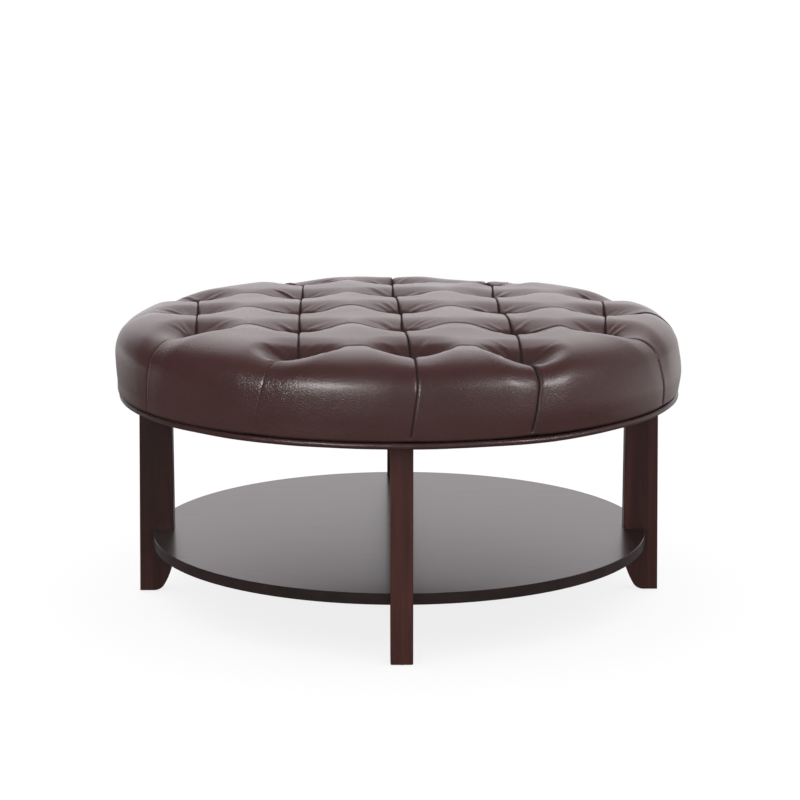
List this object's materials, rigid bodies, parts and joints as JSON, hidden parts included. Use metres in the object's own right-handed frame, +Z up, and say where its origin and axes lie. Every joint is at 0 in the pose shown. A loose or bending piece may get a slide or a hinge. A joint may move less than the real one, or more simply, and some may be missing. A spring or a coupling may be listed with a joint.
{
  "type": "ottoman coffee table",
  "caption": "Round padded ottoman coffee table with a deep-tufted leather seat, piping at its lower edge, plank legs and a round storage shelf near the floor.",
  "frame": {"origin": "on the floor, below the middle of the seat", "axes": "+Z up, -Y towards the front; the legs stand on the X and Y axes"},
  "size_m": [0.9084, 0.9084, 0.4786],
  "materials": {
    "leather": "semi-gloss dark brown leather with a fine pebble grain",
    "dark_wood": "satin lacquer over an espresso stain",
    "pine": "raw sawn softwood",
    "plywood": "raw plywood",
    "foam": "open-cell upholstery foam",
    "twine": "waxed tufting twine",
    "dust_cloth": "black non-woven cloth",
    "steel": "zinc plated",
    "nylon": "dark brown nylon"
  },
  "bodies": {
    "root": {"seat_cover": "leather", "piping": "leather", "foam_pad": "foam", "seat_deck": "plywood", "seat_hoop": "plywood", "rail_front": "pine", "rail_back": "pine", "tuft_ties": "twine", "tuft_washers": "steel", "dust_cloth": "dust_cloth", "shelf": "dark_wood", "leg_right": "dark_wood", "leg_block_right": "pine", "leg_plate_right": "steel", "shelf_bracket_right": "steel", "glide_right": "nylon", "leg_back": "dark_wood", "leg_block_back": "pine", "leg_plate_back": "steel", "shelf_bracket_back": "steel", "glide_back": "nylon", "leg_left": "dark_wood", "leg_block_left": "pine", "leg_plate_left": "steel", "shelf_bracket_left": "steel", "glide_left": "nylon", "leg_front": "dark_wood", "leg_block_front": "pine", "leg_plate_front": "steel", "shelf_bracket_front": "steel", "glide_front": "nylon", "plate_bolts": "steel", "tee_nuts": "steel", "leg_screws": "steel", "bracket_screws": "steel", "deck_screws": "steel", "hoop_screws": "steel", "glide_nails": "steel"}
  },
  "joints": []
}
